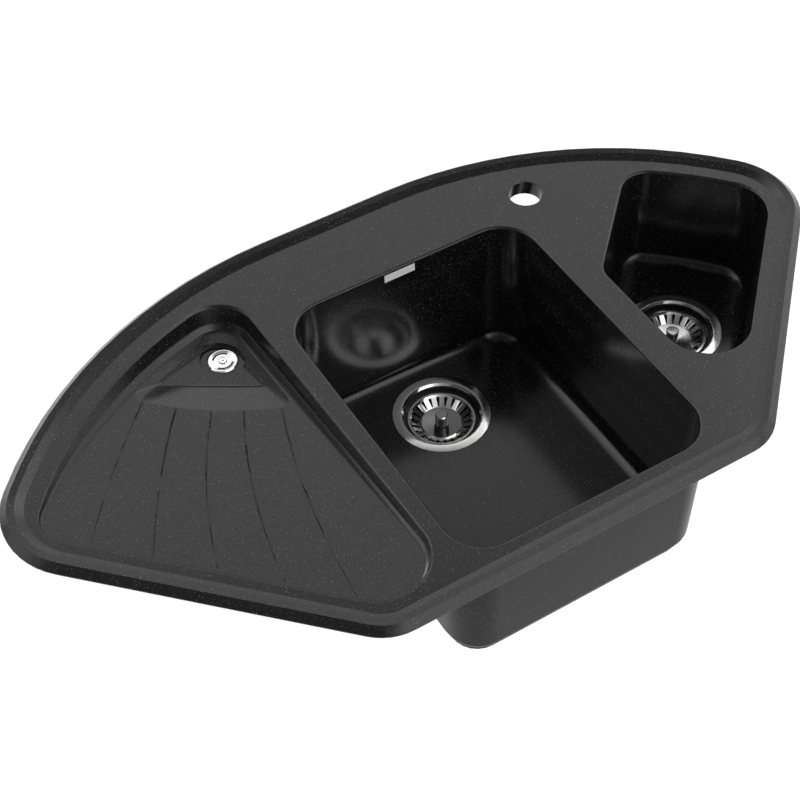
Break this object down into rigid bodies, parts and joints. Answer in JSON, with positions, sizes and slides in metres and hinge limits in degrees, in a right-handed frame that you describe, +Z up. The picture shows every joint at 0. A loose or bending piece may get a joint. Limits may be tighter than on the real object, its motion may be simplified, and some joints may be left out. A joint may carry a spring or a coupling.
{
  "type": "corner kitchen sink",
  "caption": "Inset corner kitchen sink in dark granite composite, with a deep bowl, a small side bowl, a grooved drainboard, a tap hole, lift-out basket strainers and an overflow.",
  "frame": {"origin": "on the rim's flat underside, 10 mm in from the middle of the front edge", "axes": "+X to the right along the front edge, +Y from the front edge to the corner of the room, +Z up"},
  "size_m": [1.0398, 0.57, 0.302],
  "materials": {
    "composite": "smooth moulded granite composite, near black with fine pale flecks, satin gloss",
    "badge_metal": "blank foil badge, satin",
    "polished_steel": "pressed stainless steel, polished",
    "rubber": "black sealing rubber",
    "white_plastic": "moulded white drain plastic",
    "grey_plastic": "ribbed flexible overflow hose"
  },
  "bodies": {
    "sink": {"sink_body": "composite", "blank_badge": "badge_metal", "main_flange": "polished_steel", "main_top_gasket": "rubber", "main_under_gasket": "rubber", "main_drain_body": "white_plastic", "main_bolt": "polished_steel", "small_flange": "polished_steel", "small_top_gasket": "rubber", "small_under_gasket": "rubber", "small_drain_body": "white_plastic", "small_bolt": "polished_steel", "overflow_rosette": "polished_steel", "overflow_screw": "polished_steel", "overflow_gasket": "rubber", "overflow_cup": "white_plastic", "overflow_hose": "grey_plastic"},
    "main_strainer_insert": {"main_basket": "polished_steel", "main_knob": "polished_steel", "main_stem": "polished_steel", "main_seal": "rubber"},
    "small_strainer_insert": {"small_basket": "polished_steel", "small_knob": "polished_steel", "small_stem": "polished_steel", "small_seal": "rubber"}
  },
  "joints": [
    {"name": "main_insert_lift", "type": "slide", "parent": "sink", "child": "main_strainer_insert", "axis": [0, 0, 1], "range_m": [0, 0.24]},
    {"name": "small_insert_lift", "type": "slide", "parent": "sink", "child": "small_strainer_insert", "axis": [0, 0, 1], "range_m": [0, 0.2]}
  ]
}
